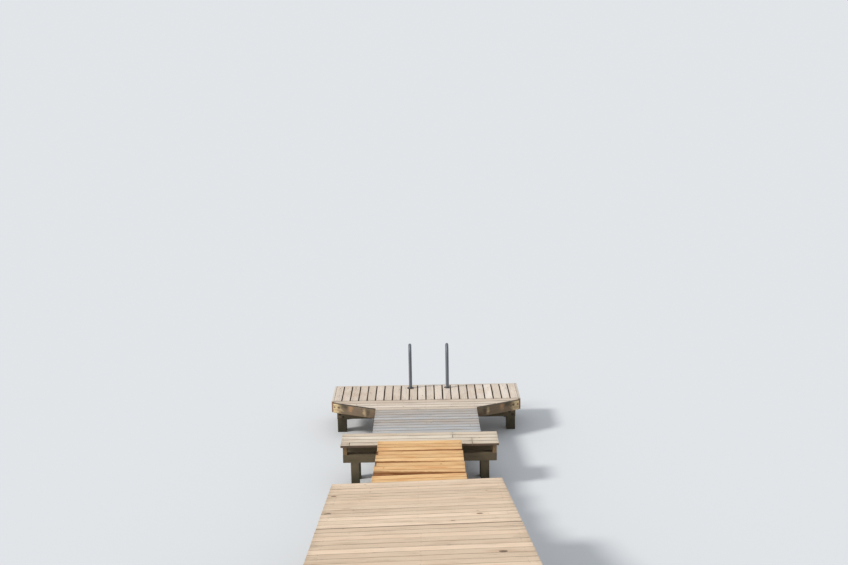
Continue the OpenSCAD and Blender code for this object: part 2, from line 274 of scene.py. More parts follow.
def corners_round(spots):
    """Lowest and highest corner of the box round some spots."""
    return [Vector(extreme(s[i] for s in spots) for i in range(3)) for extreme in (min, max)]


def box_of(piece):
    """Lowest and highest corner of a piece whose place is in its mesh."""
    return corners_round([v.co for v in piece.data.vertices])


def middle(piece):
    low, high = box_of(piece)
    return (low + high) / 2


def lie_of(solid):
    """How a timber lies: its own axes, X along the grain and Z out of its broad face, and its size."""
    mesh = solid.data
    ends = [(mesh.vertices[a].co, mesh.vertices[b].co) for a, b in (e.vertices for e in mesh.edges)]
    along = max((b - a for a, b in ends), key=lambda way: way.length).normalized()
    if sum(along) < 0:
        along.negate()
    sides = [p for p in mesh.polygons if abs(p.normal.dot(along)) < 0.01]
    out = max(sides, key=lambda p: round(p.area, 6) + 1e-4 * p.normal.z).normal.copy()
    if out.z < -0.1:
        out.negate()
    axes = Matrix((along, out.cross(along).normalized(), out))
    low, high = corners_round([axes @ v.co for v in mesh.vertices])
    turn = axes.transposed()
    lie = Matrix.Translation(turn @ ((low + high) / 2)) @ turn.to_4x4()
    return lie, high - low


def centres(node, axis):
    """Where the timbers of a CAD node have their middles along an axis."""
    timbers = solids_of(node)
    found = sorted({round(middle(t)[axis], 4) for t in timbers})
    throw_away(*timbers)
    return found


def centre_line(node, axis):
    """Where a whole CAD node has its middle along an axis."""
    low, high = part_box(node)
    return (low[axis] + high[axis]) / 2


# What each timber's wood is like

def note(piece, name, value):
    """Writes the same three numbers on every vertex of a piece, for its finish to read."""
    written = piece.data.attributes.new(name, "FLOAT_VECTOR", "POINT").data
    written.foreach_set("vector", tuple(value) * len(written))


def mark_wood(piece, to_board, size, knots, tone, outer=0):
    """Notes on a timber: its pith, half sizes, tone, age and knots, and each spot's place on it.

    The outer side is 1 or -1 where a board ends a bay, on its own Y axis.
    """
    note(piece, "pith", (chance.uniform(0, 90), chance.uniform(-0.05, 0.05),
                         chance.choice((-1, 1)) * chance.uniform(0.03, 0.10)))
    note(piece, "half", size / 2)
    note(piece, "board", (tone, chance.random(), outer))
    for number in range(MOST_KNOTS):
        note(piece, f"knot_{number}", knots[number] if number < len(knots) else NO_KNOT)
    place = piece.data.attributes.new("place", "FLOAT_VECTOR", "POINT")
    for spot, vertex in zip(place.data, piece.data.vertices):
        spot.vector = to_board @ vertex.co


def knots_of(lie, size, share, seen):
    """Up to three knots: those seen on the real timber, and others where chance puts them."""
    found = []
    for spot, radius in seen:
        near = lie.inverted() @ Vector(spot)
        if abs(near.x) < size.x / 2 and abs(near.y) < size.y / 2 and abs(near.z) < size.z:
            found.append((near.x, near.y, radius))
    for _ in range(MOST_KNOTS - len(found)):
        if chance.random() < share:
            found.append((chance.uniform(-0.46, 0.46) * size.x, chance.uniform(-0.38, 0.38) * size.y,
                          chance.uniform(*SMALL_KNOTS)))
    return found


def mark_band_depth(board, riser, left, right):
    """Notes how far each spot of a tread lies inside the darker band in front of the next step."""
    low, high = box_of(board)
    dark_band = board.data.attributes.new("dark_band", "FLOAT", "POINT")
    for spot, vertex in zip(dark_band.data, board.data.vertices):
        share = (vertex.co.x - low.x) / (high.x - low.x)
        spot.value = riser + left + (right - left) * share - vertex.co.y


# Finishes

def colour(red, green, blue):
    """A colour as a screen shows it, 0 to 255 and none near 0, in the linear values that a shader takes."""
    return tuple(((c / 255 + 0.055) / 1.055) ** 2.4 for c in (red, green, blue)) + (1.0,)


class Finish:
    """A material's node tree, with a short call for each kind of node."""

    def __init__(self, name):
        self.material = bpy.data.materials.new(name)
        self.material.use_nodes = True
        self.tree = self.material.node_tree
        self.shader = self.tree.nodes["Principled BSDF"]

    def add(self, kind, inputs, out=0, **settings):
        """Makes a node, feeds its inputs and gives back one of its outputs."""
        node = self.tree.nodes.new("ShaderNode" + kind)
        for key, value in settings.items():
            setattr(node, key, value)
        self.feed(node, inputs)
        return node.outputs[out]

    def feed(self, node, inputs):
        """Links the sockets among some inputs, and sets those that are plain values."""
        for key, value in inputs.items():
            if isinstance(value, bpy.types.NodeSocket):
                self.tree.links.new(value, node.inputs[key])
            elif value is not None:
                node.inputs[key].default_value = value

    def maths(self, operation, a, b=None, c=None):
        return self.add("Math", {0: a, 1: b, 2: c}, operation=operation)

    def plus(self, a, b):
        return self.maths("ADD", a, b)

    def minus(self, a, b):
        return self.maths("SUBTRACT", a, b)

    def times(self, a, b):
        return self.maths("MULTIPLY", a, b)

    def times_plus(self, a, b, c):
        return self.maths("MULTIPLY_ADD", a, b, c)

    def length(self, a, b):
        """Length of the diagonal over two sides."""
        return self.maths("SQRT", self.plus(self.times(a, a), self.times(b, b)))

    def level(self, value, low, high, to_low=0.0, to_high=1.0):
        """Smooth step of value from low to high."""
        return self.add("MapRange", {"Value": value, "From Min": low, "From Max": high,
                                     "To Min": to_low, "To Max": to_high}, interpolation_type="SMOOTHSTEP")

    def blend(self, share, a, b, way="MIX"):
        """Colour b over colour a, in the node's colour sockets."""
        node = self.tree.nodes.new("ShaderNodeMix")
        node.data_type = "RGBA"
        node.blend_type = way
        self.feed(node, {0: share, 6: a, 7: b})
        return node.outputs[2]

    def vectors(self, operation, a, b, c=None):
        return self.add("VectorMath", {0: a, 1: b, 2: c}, operation=operation)

    def parts(self, vector):
        return self.add("SeparateXYZ", {0: vector}).node.outputs

    def noise(self, vector, scale, detail=2.0, rough=0.5, out="Fac"):
        """Noise that is stretched by its own scale on each axis."""
        return self.add("TexNoise", {"Vector": self.vectors("MULTIPLY", vector, scale), "Scale": 1.0,
                                     "Detail": detail, "Roughness": rough}, out=out)

    def note(self, name, out="Vector"):
        """What is written on the piece under a name."""
        return self.add("Attribute", {}, out=out, attribute_name=name)

    def here(self):
        """The place on the jetty."""
        return self.add("TexCoord", {}, out="Object")


class SawnWood(Finish):
    """Sawn softwood. It greys where rain and sun reach it, and keeps its own colour below."""

    def __init__(self, name, early, late, grey, stain, knot):
        super().__init__(name)
        self.early, self.late, self.grey, self.stain, self.knot = early, late, grey, stain, knot
        self.base = early
        self.gloss = 0.28
        self.read_notes()
        self.fibre = self.pattern(FIBRES)
        self.streak = self.pattern(STREAKS, detail=3.0, rough=0.6)
        self.blotch = self.pattern(BLOTCHES, detail=3.0, rough=0.6)
        self.blotch_edge = self.pattern(BLOTCH_EDGES, detail=3.0, rough=0.6)
        self.find_knots()
        self.find_rings()

    def read_notes(self):
        """What is noted on the timber, and how far a spot is from its ends and sides."""
        place = self.note("place")
        self.spot = self.parts(place)
        self.half = self.parts(self.note("half"))
        self.tone, self.age, self.outer = self.parts(self.note("board"))
        self.grain = self.vectors("ADD", place, self.note("pith"))
        self.to_end, self.to_side = (
            self.minus(self.half[i], self.maths("ABSOLUTE", self.spot[i])) for i in (0, 1))
        self.end_face = self.level(self.to_end, 0.0016, 0.0006)
        self.facing = self.parts(self.add("NewGeometry", {}, out="Normal"))[2]

    def pattern(self, scale, **how):
        """Noise that keeps to this timber's own grain."""
        return self.noise(self.grain, scale, **how)

    def away_from(self, name, ragged, play, long, tall=1.0):
        """How many of its own radii a spot lies away from a noted one, whose outline is ragged."""
        x, y, radius = self.parts(self.note(name))
        dx = self.times(self.minus(self.spot[0], x), long)
        dy = self.times(self.minus(self.spot[1], y), tall)
        away = self.maths("DIVIDE", self.length(dx, dy), radius)
        return self.times_plus(ragged, -play, self.plus(away, play / 2))

    def find_knots(self):
        """Knots go through the board where its notes say, each with bark round it and a collar."""
        ragged = self.pattern(KNOT_EDGES)
        near = [self.away_from(f"knot_{number}", ragged, 0.5, 0.85) for number in range(MOST_KNOTS)]
        self.near = near[0]
        for other in near[1:]:
            self.near = self.maths("MINIMUM", self.near, other)
        self.body = self.level(self.near, 1.05, 0.8)
        self.bark = self.times(self.body, self.level(self.near, 0.62, 0.9))
        self.collar = self.level(self.near, 3.8, 0.9)

    def find_rings(self):
        """Growth rings about the pith, which wanders as the tree grew, and round the knots."""
        bend = self.vectors("MULTIPLY_ADD", self.pattern(TREE_BENDS, detail=1.0, out="Color"), BEND_SIZE,
                            tuple(-size / 2 for size in BEND_SIZE))
        ripple = self.vectors("MULTIPLY", self.pattern(RING_RIPPLES, out="Color"), RIPPLE_SIZE)
        trunk = self.parts(self.vectors("ADD", self.vectors("ADD", self.grain, bend), ripple))
        radius = self.times_plus(self.collar, KNOT_PUSH, self.length(trunk[1], trunk[2]))
        ring = self.maths("FRACT", self.maths("DIVIDE", radius, RING_WIDTH))
        self.summer = self.times(self.maths("POWER", ring, 2.2), self.level(ring, 1.0, 0.9))

    def coat(self, share, tint, way="MIX"):
        """Lays a tint over the wood, as strongly at each spot as share says."""
        self.base = self.blend(share, self.base, tint, way)

    def weather(self, top_grey, side_grey=0.35, stains=0.4, blush=0.25):
        """Shows the rings, greyed by weather, with stains and streaks and with warm and pale stretches."""
        grey = self.level(self.facing, -0.3, 0.75, side_grey * 0.55, top_grey)
        grey = self.times(grey, self.level(self.streak, 0.25, 0.65, 0.75, 1.12))
        grey = self.times(grey, self.level(self.age, 0.0, 1.0, 0.85, 1.1))
        self.coat(self.times(self.summer, self.times_plus(grey, -0.6, 1.0)), self.late)
        self.coat(grey, self.grey)
        self.coat(self.times(self.level(self.blotch, 0.52, 0.8), stains), self.stain)
        self.coat(self.level(self.streak, 0.5, 0.85, 0.0, 0.26), self.stain)
        self.coat(self.level(self.tone, 0.0, 1.0, 0.0, 0.22), self.late)
        flush = self.pattern(FLUSHES)
        self.coat(self.level(flush, 0.5, 0.72, 0.0, blush), self.late)
        self.coat(self.level(flush, 0.5, 0.3, 0.0, blush), self.early)

    def stain_and_sunlit_patch(self, name, tint, strength, long, tall):
        """A patch of tint with a ragged outline where the timber's note of that name says. Most are stains;
        the cream ones on the corner beams are painted sunlight.
        """
        away = self.away_from(name, self.blotch_edge, 3.0, long, tall)
        smudge = self.level(away, 1.7, 0.1, 0.0, strength)
        self.coat(self.times(smudge, self.level(self.streak, 0.2, 0.7, 0.5, 1.0)), tint)

    def crown(self, tint, strength):
        """Another tint on what faces up."""
        self.coat(self.times(self.level(self.facing, 0.75, 0.97), strength), tint)

    def show_knots(self):
        """Knots with rings of their own in bark, and darker end grain."""
        self.coat(self.times(self.collar, 0.25), self.late)
        rings = self.maths("FRACT", self.times(self.near, 4.0))
        self.coat(self.times(self.body, self.level(rings, 0.0, 1.0, 0.6, 0.9)), self.knot)
        self.coat(self.times(self.bark, 0.6), colour(46, 34, 26))
        self.coat(self.times(self.end_face, 0.45), self.late)

    def ragged(self, distance, play):
        """A distance to an edge that the grain's streaks make ragged."""
        return self.times_plus(self.minus(self.streak, 0.5), play, distance)

    def dirty_shaded_joints(self, strength, side_dirt_and_shade=0.8):
        """Dirt along a board's long edges, and side faces that darken down in the joints with dirt and
        painted shade.
        """
        edge = self.ragged(self.to_side, DIRT_PLAY)
        self.coat(self.level(edge, JOINT_DIRT, 0.001, 0.0, strength), self.stain)
        # Side faces darken with depth below the top: dirt, and painted shade in the narrow joints.
        upright = self.level(self.maths("ABSOLUTE", self.facing), 0.92, 0.5)
        upright = self.times(upright, self.minus(1.0, self.end_face))
        depth = self.minus(self.half[2], self.spot[2])
        self.coat(self.times(upright, self.level(depth, 0.0004, 0.003, 0.0, side_dirt_and_shade)), self.knot)

    def dirty_bay_ends(self, strength):
        """Dark dirt along the edge that ends a bay."""
        edge = self.ragged(self.minus(self.half[1], self.times(self.outer, self.spot[1])), DIRT_PLAY)
        self.coat(self.level(edge, BAY_DIRT, 0.001, 0.0, strength), self.knot)

    def darken_band_before_step(self, tint):
        """A darker, less shiny band with a ragged front, which fades and mottles away from it."""
        into_band = self.ragged(self.note("dark_band", out="Fac"), BAND_PLAY)
        into_band = self.times_plus(self.minus(self.blotch_edge, 0.5), BAND_PLAY, into_band)
        fading = self.times(self.level(into_band, *BAND_FADE, 1.0, 0.45),
                            self.level(self.blotch, 0.35, 0.65, 1.0, 0.68))
        fading = self.times(fading, self.level(self.streak, 0.3, 0.62, 0.74, 1.0))
        # Darkens each tread in a band in front of the next step, most at its ragged front.
        for reach, strength in ((BAND_FRONT, 1.0), (BAND_CORE, 0.5)):
            self.coat(self.times(self.level(into_band, *reach, 0.0, strength), fading), tint, "MULTIPLY")
        self.gloss = self.level(into_band, *BAND_FRONT, self.gloss, 0.08)

    def wet_foot(self, top):
        """Dark wet wood from the water up to a ragged line."""
        height = self.times_plus(self.pattern(WET_EDGES), -WET_PLAY, self.parts(self.here())[2])
        self.coat(self.level(height, top, 0.02, 0.0, 0.75), colour(44, 46, 32))

    def split(self, cracks):
        """Fine cracks along the grain, more of them near a timber's ends."""
        line = self.maths("ABSOLUTE", self.minus(self.pattern(CRACK_LINES, detail=1.0), 0.5))
        where = self.times_plus(self.level(self.to_end, END_CRACKS, 0.0), 0.16,
                                self.pattern(CRACK_PLACES, detail=1.0))
        return self.times(self.times(self.level(line, 0.012, 0.003), self.level(where, 0.55, 0.66)), cracks)

    def finished(self, rough=0.82, cracks=1.0):
        """The material, with light and dark fibres, cracks and the relief of both."""
        split = self.split(cracks)
        shade = self.times(self.level(self.fibre, 0.25, 0.75, 0.90, 1.06),
                           self.level(self.tone, 0.0, 1.0, 1.04, 0.95))
        shade = self.times(shade, self.level(self.age, 0.0, 1.0, 0.93, 1.05))
        shade = self.times(shade, self.level(self.to_end, END_SHADE, 0.0, 1.0, 0.9))
        shade = self.times(shade, self.times_plus(split, -0.6, 1.0))
        self.coat(1.0, self.add("CombineColor", {0: shade, 1: shade, 2: shade}), "MULTIPLY")
        height = self.times_plus(self.summer, 0.35, self.times(self.fibre, 0.35))
        for part, rise in ((split, -1.6), (self.body, 0.5), (self.streak, 0.6)):
            height = self.times_plus(part, rise, height)
        self.feed(self.shader, {
            "Base Color": self.base,
            "Roughness": self.level(self.fibre, 0.2, 0.8, rough - 0.08, rough + 0.1),
            "Normal": self.add("Bump", {"Height": height, "Strength": 0.7, "Distance": 0.0009}),
            "Specular IOR Level": self.gloss,
        })
        return self.material


def pale_planks(name, grey, top_grey, joints, stains=0.4):
    """Deck boards that sun and rain have bleached."""
    wood = SawnWood(name, early=colour(226, 206, 180), late=colour(186, 152, 118), grey=grey,
                    stain=colour(142, 122, 104), knot=colour(74, 50, 36))
    wood.weather(top_grey, stains=stains)
    wood.show_knots()
    wood.dirty_shaded_joints(joints)
    return wood


def platform_planks():
    return "plank_wood", pale_planks("platform_planks", colour(226, 217, 207), 0.8, joints=0.2).finished()


def ramp_planks():
    """Cooler and greyer than the platform: partly the wood's own grey, partly painted shade of a tree."""
    return "plank_wood", pale_planks("ramp_planks", colour(174, 178, 182), 0.92, joints=0.25).finished()


def landing_planks():
    wood = pale_planks("landing_planks", colour(224, 214, 198), 0.82, joints=0.35, stains=0.3)
    return "plank_wood", wood.finished()


def walk_planks():
    """Warmer than the platform, with dirt where one bay meets the next."""
    wood = pale_planks("walk_planks", colour(242, 217, 191), 0.8, joints=0.2, stains=0.3)
    wood.dirty_bay_ends(0.5)
    return "plank_wood", wood.finished()


def step_treads():
    """Newer and warmer than the other boards."""
    wood = SawnWood("step_treads", early=colour(240, 202, 148), late=colour(208, 142, 82),
                    grey=colour(236, 196, 144), stain=colour(180, 120, 70), knot=colour(130, 74, 38))
    wood.weather(top_grey=0.35, side_grey=0.1, stains=0.35, blush=0.5)
    wood.show_knots()
    wood.dirty_shaded_joints(0.35, side_dirt_and_shade=0.45)
    # A darker band on each tread in front of the next step.
    wood.darken_band_before_step(colour(138, 93, 36))
    return "tread_wood", wood.finished(rough=0.72, cracks=0.6)


def closing_boards():
    """Brown at the sides and bleached along their tops."""
    wood = SawnWood("closing_boards", early=colour(198, 158, 122), late=colour(152, 112, 80),
                    grey=colour(168, 148, 128), stain=colour(98, 84, 70), knot=colour(74, 50, 32))
    wood.weather(top_grey=0.7, side_grey=0.6, stains=0.5)
    wood.crown(colour(214, 206, 196), 0.85)
    wood.show_knots()
    return "beam_wood", wood.finished()


def corner_beams():
    """Old dark beams with a cream end and a cream streak of painted sunlight, dark and ochre stains, and a
    top darkened as painted shade.
    """
    cream, olive, ochre = colour(240, 212, 164), colour(58, 52, 42), colour(204, 152, 108)
    wood = SawnWood("corner_beams", early=colour(140, 116, 88), late=colour(98, 76, 54),
                    grey=colour(116, 106, 92), stain=colour(56, 48, 38), knot=colour(60, 44, 28))
    wood.weather(top_grey=0.7, side_grey=0.8, stains=0.95)
    # The cream end and the cream streak are painted sunlight; the dark and ochre marks are stains.
    wood.stain_and_sunlit_patch("sunlit_cream_end", cream, 0.95, long=0.6, tall=0.5)
    wood.stain_and_sunlit_patch("dark_stain", olive, 0.8, long=0.5, tall=0.9)
    wood.stain_and_sunlit_patch("ochre_stain", ochre, 0.5, long=0.8, tall=0.5)
    # A cream streak of painted sunlight.
    wood.stain_and_sunlit_patch("sunlit_cream_streak", cream, 0.52, long=1.0, tall=0.55)
    wood.stain_and_sunlit_patch("dark_streak", olive, 0.7, long=0.9, tall=0.5)
    # Painted shade: the dark top stands for the shadow below the plank ends.
    wood.crown(colour(62, 55, 46), 0.8)
    wood.show_knots()
    return "beam_wood", wood.finished()


def joists():
    wood = SawnWood("joists", early=colour(176, 146, 108), late=colour(132, 100, 66),
                    grey=colour(140, 130, 114), stain=colour(86, 74, 60), knot=colour(78, 52, 34))
    wood.weather(top_grey=0.5, side_grey=0.4, stains=0.5)
    wood.show_knots()
    return "beam_wood", wood.finished()


def posts():
    """Grey-brown, and wet at the foot."""
    wood = SawnWood("posts", early=colour(122, 106, 80), late=colour(88, 74, 54),
                    grey=colour(112, 106, 92), stain=colour(62, 56, 42), knot=colour(52, 38, 26))
    wood.weather(top_grey=0.5, side_grey=0.5, stains=0.6)
    wood.show_knots()
    wood.wet_foot(0.26)
    return "post_wood", wood.finished()


def steel(name, tint, rough, grind, stain, tarnish, ground=0.0):
    """Steel with fine lines from grinding, and dry water marks.

    Ground round an upright tube, it shines up and down.
    """
    f = Finish(name)
    lines = f.noise(f.here(), grind)
    marks = f.noise(f.here(), WATER_MARKS, detail=4.0, rough=0.65)
    f.feed(f.shader, {
        "Base Color": f.blend(f.level(marks, 0.45, 0.75, 0.0, stain), tint, tarnish),
        "Roughness": f.plus(f.level(lines, 0.3, 0.7, rough - 0.06, rough + 0.06),
                            f.level(marks, 0.4, 0.8, 0.0, 0.16)),
        "Metallic": 1.0,
        "Anisotropic": ground,
        "Tangent": f.add("CombineXYZ", {2: 1.0}) if ground else None,
        "Normal": f.add("Bump", {"Height": lines, "Strength": 0.25, "Distance": 0.0002}),
    })
    return "steel", f.material


satin = steel("satin_tube", colour(126, 130, 137), 0.58, ROUND_TUBE, 0.3, colour(106, 104, 101), ground=0.65)
zinc = steel("screw_steel", colour(136, 134, 130), 0.42, TURNED, 0.5, colour(96, 84, 70))
# Plate steel darker than the tubes.
dark_plates = steel("dark_plate_steel", colour(92, 88, 84), 0.5, ROLLED, 0.6, colour(64, 52, 42))
# Bolt steel with rust-brown water marks, its tint darkened as painted shade for the bolts under the
# platform.
shaded_rusty_bolts = steel("bolt_steel", colour(78, 70, 62), 0.6, ROLLED, 0.7, colour(74, 50, 34))


# Fasteners

def screw_head():
    """A screw head that stands a hair proud, with a shallow round recess."""
    bpy.ops.mesh.primitive_cylinder_add(vertices=12, radius=SCREW_R, depth=SCREW_DEPTH,
                                        location=(0, 0, SCREW_RISE - SCREW_DEPTH / 2))
    head = settled()
    open_mesh(head)
    pick("FACE", lambda f: f.normal.z > 0.9)
    bpy.ops.mesh.inset(thickness=SCREW_R * 0.16)
    bpy.ops.transform.translate(value=(0, 0, SCREW_DOME))
    bpy.ops.mesh.inset(thickness=SCREW_R * 0.34)
    bpy.ops.transform.translate(value=(0, 0, -SCREW_DOME))
    close_mesh()
    return head


def ease_top(piece, ease):
    """Rounds the upper rim of a washer or a bolt's head."""
    open_mesh(piece)
    pick("EDGE", lambda e: sharp(e) and all(v.co.z > WASHER_DEPTH - BOLT_SEAT / 2 for v in e.verts)
         and abs(e.verts[0].co.z - e.verts[1].co.z) < NEAR)
    bpy.ops.mesh.bevel(offset=ease, segments=2, affect="EDGES")
    close_mesh()


def bolt_head():
    """A six-sided head on a washer, its foot at the origin."""
    bpy.ops.mesh.primitive_cylinder_add(vertices=24, radius=WASHER_R, depth=WASHER_DEPTH,
                                        location=(0, 0, WASHER_DEPTH / 2))
    washer = settled()
    bpy.ops.mesh.primitive_cylinder_add(vertices=6, radius=BOLT_R, depth=BOLT_DEPTH,
                                        location=(0, 0, WASHER_DEPTH - BOLT_SEAT + BOLT_DEPTH / 2))
    head = settled()
    ease_top(washer, 0.0006)
    ease_top(head, 0.0012)
    return join([washer, head], "bolt_head")


screw = screw_head()
bolt = bolt_head()


def fasten(name, pattern, finish, spots):
    """Heads at each spot, facing the way given with it."""
    heads = []
    for spot, way in spots:
        head = copy_of(pattern)
        turn = Vector(way).to_track_quat("Z", "Y").to_matrix().to_4x4()
        head.data.transform(Matrix.Translation(spot) @ turn @ Matrix.Rotation(chance.uniform(0, 6), 4, "Z"))
        heads.append(head)
    hand_over(join(heads, name), finish)


def ledger_bolts():
    """Two bolts at each place where a ledger meets what carries it, through its lake or its shore face."""
    spots = []
    for node, lake_face, places in (("platform_waler", False, centres("platform_piles", ACROSS)),
                                    ("ramp_ledger", True, centres("landing_posts", ACROSS)),
                                    ("step_ledgers", True, centres("trestle_posts_1", ACROSS)),
                                    ("step_ledgers", False, STEP_BOLTS)):
        timbers = solids_of(node)
        low, high = box_of(timbers[0 if lake_face else -1])
        throw_away(*timbers)
        y, way = (high.y, (0, 1, 0)) if lake_face else (low.y, (0, -1, 0))
        for x in places:
            for off in (-LEDGER_BOLT_SPREAD, LEDGER_BOLT_SPREAD):
                spots.append(((x + off, y, (low.z + high.z) / 2 - off), way))
    return spots


def closing_board_screws():
    """Screws through the end boards at each bearer and at their lake ends, and along the lake board."""
    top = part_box("platform_fascias")[1]
    ends = centres("platform_front_bearer", ALONG) + centres("platform_back_bearer", ALONG)
    spots = [((side * top.x * NARROWER, y, z), (side, 0, 0))
             for y in ends + [top.y - LAKE_END_SCREWS] for side in (-1, 1) for z in END_BOARD_SCREWS]
    return spots + [((number * LAKE_SCREW_STEP, top.y, z), (0, 1, 0))
                    for number in range(-3, 4) for z in LAKE_BOARD_SCREWS]


# Deck boards

def sawn_board(size, cup, crook):
    """A board along X about the origin, with eased arrises, a hollow or crowned face and a bowed edge."""
    length, width, thick = size
    bpy.ops.mesh.primitive_cube_add(size=1, scale=size)
    board = bpy.context.object
    open_mesh(board)
    pick("EDGE", lambda e: runs_along(e, ACROSS))
    bpy.ops.mesh.subdivide(number_cuts=max(2, round(length / CUT_STEP)))
    pick("EDGE", lambda e: runs_along(e, ALONG))
    bpy.ops.mesh.subdivide(number_cuts=3)
    for top, ease, rounds in ((1, ARRIS, 2), (-1, ARRIS / 2, 1)):
        pick("EDGE", lambda e: runs_along(e, ACROSS) and all(
            abs(v.co.y) > width / 2 - NEAR and v.co.z * top > thick / 2 - NEAR for v in e.verts))
        bpy.ops.mesh.bevel(offset=ease, segments=rounds, affect="EDGES")
    pick("EDGE", lambda e: sharp(e, 29) and all(abs(v.co.x) > length / 2 - NEAR for v in e.verts))
    bpy.ops.mesh.bevel(offset=END_ARRIS, segments=1, affect="EDGES")
    for row in sorted({round(abs(v.co.y), 5) for v in bmesh.from_edit_mesh(board.data).verts}):
        pick("VERT", lambda v: abs(abs(v.co.y) - row) < 2 * NEAR)
        bpy.ops.transform.translate(value=(0, 0, cup * (2 * row / width) ** 2))
    close_mesh()
    if crook:
        bow = board.modifiers.new("bow", "SIMPLE_DEFORM")
        bow.deform_method = "BEND"
        bow.deform_axis = "Z"
        bow.angle = 8 * crook / length
        bpy.ops.object.modifier_apply(modifier="bow")
    return board


def eased(solid, arris=BEAM_ARRIS):
    """The construction's own solid with its arrises rounded."""
    open_mesh(solid)
    pick("EDGE", sharp)
    bpy.ops.mesh.bevel(offset=arris, segments=2, affect="EDGES", clamp_overlap=True)
    close_mesh()
    return solid


def cut_board(patterns, lie, size):
    """A board of its kind, still about the origin, with the place to lay it at and its cup."""
    cup = chance.choice((-1, 0, 1)) * CUP
    crook = chance.choice((-1, 0, 1)) * CROOK
    length = round(size.x, 2)
    kind = length, round(size.y, 3), cup, crook
    if kind not in patterns:
        patterns[kind] = sawn_board((length, size.y - SAW_LOSS, size.z), cup, crook)
    board = copy_of(patterns[kind])
    shorter = (size.x - chance.uniform(0, SHORTFALL)) / length
    board.data.transform(Matrix.Diagonal((shorter, 1, 1, 1)))
    sunk = Matrix.Translation((0, 0, -max(0, cup) - SINK))
    tilt = Matrix.Rotation(chance.uniform(-TILT, TILT), 4, "X")
    skew = Matrix.Rotation(chance.uniform(-SKEW, SKEW), 4, "Z")
    return board, lie @ sunk @ tilt @ skew, cup


def back_inside(board, solid):
    """Moves a board back by what it stands out of the box of the plain board that it stands for."""
    low, high = box_of(solid)
    board_low, board_high = box_of(board)
    board.data.transform(Matrix.Translation([
        max(0, low[i] - board_low[i]) - max(0, board_high[i] - high[i]) for i in range(3)]))


def outer_sides(solids):
    """For each board of a bay 1 if it ends the bay towards the lake, -1 towards the shore, and else 0."""
    places = [middle(solid)[ALONG] for solid in solids]
    return [(place == max(places)) - (place == min(places)) for place in places]


def screws_at(support, axis, lie, place, size, cup):
    """The two screws of a board that lies across a support, or none where it ends before it."""
    along = lie.to_3x3() @ Vector((1, 0, 0))
    reach = (support - lie.translation[axis]) / along[axis]
    if abs(reach) > size.x / 2 - BOARD_END:
        return []
    heads = []
    for side in (-1, 1):
        spread = side * (size.y / 2 - SCREW_EDGE)
        drop = cup * (2 * spread / size.y) ** 2
        spot = Vector((reach + chance.uniform(-SCREW_STRAY, SCREW_STRAY), spread, size.z / 2 + drop))
        turn = Matrix.Rotation(chance.uniform(0, 3), 4, "Z")
        head = copy_of(screw)
        head.data.transform(place @ Matrix.Translation(spot) @ turn)
        heads.append(head)
    return heads


def deck(name, node, finish, supports, axis, knots=DECK_KNOTS, seen=(), warm_left=0.0, short_left=0.0,
         dark_band=None, mitred=False, bay=False):
    """Boards in place of a CAD node's plain ones, with two screws where each crosses a support.

    The supports are places along an axis. Boards warm towards the left by warm_left, and the lake board
    is short_left shorter there. Mitred boards keep the construction's own outline.
    """
    patterns = {}
    boards, screws = [], []
    plain = solids_of(node)
    for solid, outer in zip(plain, outer_sides(plain) if bay else [0] * len(plain)):
        lie, size = lie_of(solid)
        if short_left and solid is plain[-1]:
            size.x -= short_left
            lie = lie @ Matrix.Translation((short_left / 2, 0, 0))
        if mitred:
            board, place, cup = copy_of(eased(solid, END_ARRIS)), lie, 0
        else:
            board, place, cup = cut_board(patterns, lie, size)
        tone = min(1, max(0, chance.uniform(0.1, 0.9) - warm_left * lie.translation.x))
        to_board = lie.inverted() if mitred else Matrix.Identity(4)
        mark_wood(board, to_board, size, knots_of(lie, size, knots, seen), tone, outer)
        if not mitred:
            board.data.transform(place)
            back_inside(board, solid)
        if dark_band:
            mark_band_depth(board, *dark_band)
        boards.append(board)
        for support in supports:
            screws += screws_at(support, axis, lie, place, size, cup)
    throw_away(*plain, *patterns.values())
    hand_over(join(boards, name), finish, node)
    hand_over(join(screws, name + "_screws"), zinc)


# Beams, posts and other squared timber

def squared_timber(node, finish, seen=(), stains=(), narrower=1):
    """A CAD node's timbers with eased arrises and the grain along each."""
    timbers = solids_of(node)
    for timber in timbers:
        lie, size = lie_of(timber)
        eased(timber)
        mark_wood(timber, lie.inverted(), size, knots_of(lie, size, BEAM_KNOTS, seen), chance.random())
        # Stains, and on the corner beams patches of painted sunlight, where their notes are given.
        for name, spot, radius in stains:
            near = lie.inverted() @ Vector(spot)
            note(timber, name, (near.x, near.y, radius))
        timber.data.transform(Matrix.Diagonal((narrower, 1, 1, 1)))
    hand_over(join(timbers, node + "_timber"), finish, node)


# Bathing ladder

